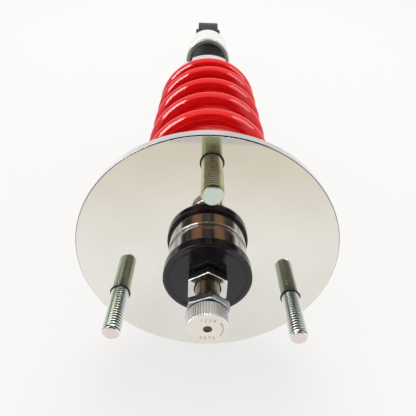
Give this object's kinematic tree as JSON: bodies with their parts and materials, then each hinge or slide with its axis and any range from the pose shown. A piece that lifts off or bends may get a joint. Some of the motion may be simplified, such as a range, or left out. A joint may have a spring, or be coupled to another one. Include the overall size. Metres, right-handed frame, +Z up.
{
  "type": "coilover strut",
  "caption": "Coilover strut with a stud-plate top mount, wound spring on a threaded perch, gas damper, adjuster knob and a height-adjustable lower eye.",
  "frame": {"origin": "centre of the top plate's outer face, on the strut's axis", "axes": "+Z up the strut's axis from the lower eye to the adjuster knob, +Y towards one of the three studs, +X along the lower eye's bolt"},
  "size_m": [0.14, 0.14, 0.5991],
  "materials": {
    "mirror_aluminium": "turned, mirror polished",
    "zinc_stud": "zinc plated and passivated, threaded",
    "housing_chrome": "chromed, bright",
    "cap_black": "black anodised, satin",
    "bearing_steel": "ground bearing steel",
    "spring_steel_clip": "phosphated spring steel",
    "nut_steel": "bright machined steel",
    "rod_chrome": "hard chromed and ground",
    "knob_aluminium": "turned, straight knurled",
    "spring_red": "gloss red powder coat",
    "body_black": "black zinc-nickel on a cut thread",
    "perch_silver": "clear anodised",
    "bracket_silver": "clear anodised, bright",
    "ring_grey": "grey anodised",
    "eye_black": "black painted forging",
    "rubber_black": "moulded rubber",
    "seal_rubber": "nitrile",
    "foam_black": "microcellular foam",
    "band_ptfe": "filled PTFE",
    "piston_aluminium": "hard anodised",
    "washer_plastic": "acetal"
  },
  "bodies": {
    "top_mount": {"top_plate": "mirror_aluminium", "mount_studs": "zinc_stud", "bearing_housing": "housing_chrome", "housing_circlip": "spring_steel_clip", "bearing_race": "bearing_steel", "bearing_cap": "cap_black"},
    "rod": {"bearing_ball": "bearing_steel", "upper_spacer": "nut_steel", "lower_spacer": "nut_steel", "piston_rod": "rod_chrome", "top_nut": "nut_steel", "jam_nut": "nut_steel", "upper_spring_seat": "perch_silver", "bump_stop_cup": "spring_steel_clip", "bump_stop": "foam_black", "piston": "piston_aluminium", "piston_band": "band_ptfe", "compression_shims": "bearing_steel", "rebound_shims": "bearing_steel", "piston_nut": "nut_steel"},
    "knob": {"adjuster_knob": "knob_aluminium", "knob_grub_screw": "spring_steel_clip", "adjuster_needle": "nut_steel"},
    "damper": {"damper_tube": "body_black", "seal_head": "piston_aluminium", "wiper_seal": "seal_rubber", "rod_seal": "seal_rubber", "base_plug": "piston_aluminium", "gas_screw": "nut_steel"},
    "gas_piston": {"floating_piston": "piston_aluminium", "floating_piston_band": "band_ptfe"},
    "spring_carrier": {"perch_slip_ring": "washer_plastic", "main_spring": "spring_red"},
    "perch": {"spring_perch": "perch_silver", "perch_lock_ring": "perch_silver"},
    "lower_mount": {"lower_bracket": "bracket_silver", "lower_eye": "eye_black", "bush_shell": "nut_steel", "eye_bush": "rubber_black"},
    "lock_ring": {"bracket_lock_ring": "ring_grey"},
    "lower_sleeve": {"eye_sleeve": "nut_steel"}
  },
  "joints": [
    {"name": "mount_tilt", "type": "hinge", "parent": "top_mount", "child": "rod", "pos_m": [0, 0, 0.003], "axis": [1, 0, 0], "range_deg": [-6, 6]},
    {"name": "knob_turn", "type": "hinge", "parent": "rod", "child": "knob", "pos_m": [0, 0, 0.046], "axis": [0, 0, 1], "range_deg": [-270, 270]},
    {"name": "damper_stroke", "type": "slide", "parent": "rod", "child": "damper", "axis": [0, 0, 1], "range_m": [0, 0.08], "stiffness_N_per_m": 30000, "deforming": ["main_spring"]},
    {"name": "gas_piston_slide", "type": "slide", "parent": "damper", "child": "gas_piston", "axis": [0, 0, 1], "range_m": [-0.02, 0]},
    {"name": "perch_height", "type": "slide", "parent": "damper", "child": "spring_carrier", "axis": [0, 0, 1], "range_m": [-0.008, 0]},
    {"name": "perch_turn", "type": "hinge", "parent": "spring_carrier", "child": "perch", "pos_m": [0, 0, -0.26], "axis": [0, 0, 1], "range_deg": [-1440, 0]},
    {"name": "ride_height", "type": "slide", "parent": "damper", "child": "lower_mount", "axis": [0, 0, 1], "range_m": [-0.006, 0.012]},
    {"name": "lock_ring_turn", "type": "hinge", "parent": "lower_mount", "child": "lock_ring", "pos_m": [0, 0, -0.405], "axis": [0, 0, 1], "range_deg": [-1080, 2160]},
    {"name": "eye_twist", "type": "hinge", "parent": "lower_mount", "child": "lower_sleeve", "pos_m": [0, 0, -0.52209], "axis": [1, 0, 0], "range_deg": [-15, 15], "stiffness_Nm_per_rad": 1}
  ],
  "couplings": [
    {"joint": "gas_piston_slide", "follows": "damper_stroke", "ratio": -0.25},
    {"joint": "perch_turn", "follows": "perch_height", "rad_per_m": 3141.6},
    {"joint": "lock_ring_turn", "follows": "ride_height", "rad_per_m": 3141.6}
  ]
}
